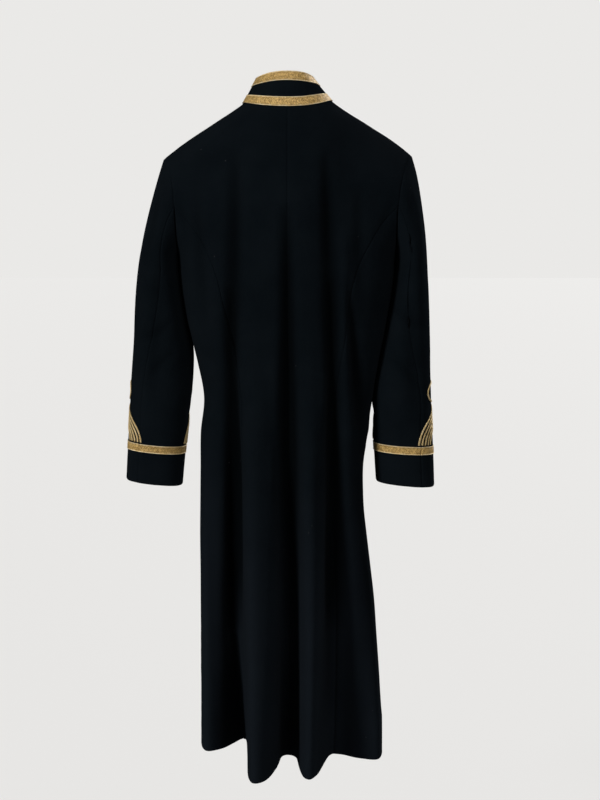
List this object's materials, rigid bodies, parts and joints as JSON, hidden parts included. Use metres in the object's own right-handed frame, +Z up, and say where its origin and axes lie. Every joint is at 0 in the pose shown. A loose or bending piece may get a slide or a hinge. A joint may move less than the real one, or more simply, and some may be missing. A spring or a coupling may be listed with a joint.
{
  "type": "naval coat",
  "caption": "Long fitted naval coat of black wool with a stand collar, gold braid at collar and cuffs, corded sleeve knots and deep back folds.",
  "frame": {"origin": "middle of the neck opening, level with the side neck points, where the wearer's shoulders hold the coat", "axes": "+Z up out of the collar, -Y towards the coat's front, +X to the wearer's left"},
  "size_m": [0.5734, 0.2962, 1.2682],
  "materials": {
    "wool_cloth": "matte",
    "gold_braid": "metallic thread",
    "gold_cord": "metallic thread",
    "brass_button": "polished"
  },
  "bodies": {
    "root": {"back_left": "wool_cloth", "back_right": "wool_cloth", "side_back_left": "wool_cloth", "side_back_right": "wool_cloth", "front_left": "wool_cloth", "front_right": "wool_cloth", "top_sleeve_left": "wool_cloth", "top_sleeve_right": "wool_cloth", "under_sleeve_left": "wool_cloth", "under_sleeve_right": "wool_cloth", "collar": "wool_cloth", "collar_braid_base": "gold_braid", "collar_braid_top": "gold_braid", "cuff_braid_top_left": "gold_braid", "cuff_braid_top_right": "gold_braid", "cuff_braid_under_left": "gold_braid", "cuff_braid_under_right": "gold_braid", "cord_arch_left_1": "gold_cord", "cord_arch_left_2": "gold_cord", "cord_arch_left_3": "gold_cord", "cord_arch_left_4": "gold_cord", "cord_arch_left_5": "gold_cord", "cord_arch_right_1": "gold_cord", "cord_arch_right_2": "gold_cord", "cord_arch_right_3": "gold_cord", "cord_arch_right_4": "gold_cord", "cord_arch_right_5": "gold_cord", "cord_loop_left_back": "gold_cord", "cord_loop_left_top": "gold_cord", "cord_loop_left_front": "gold_cord", "cord_loop_right_back": "gold_cord", "cord_loop_right_top": "gold_cord", "cord_loop_right_front": "gold_cord", "button_1": "brass_button", "button_2": "brass_button", "button_3": "brass_button", "button_4": "brass_button", "button_5": "brass_button", "button_6": "brass_button", "button_7": "brass_button"}
  },
  "joints": []
}
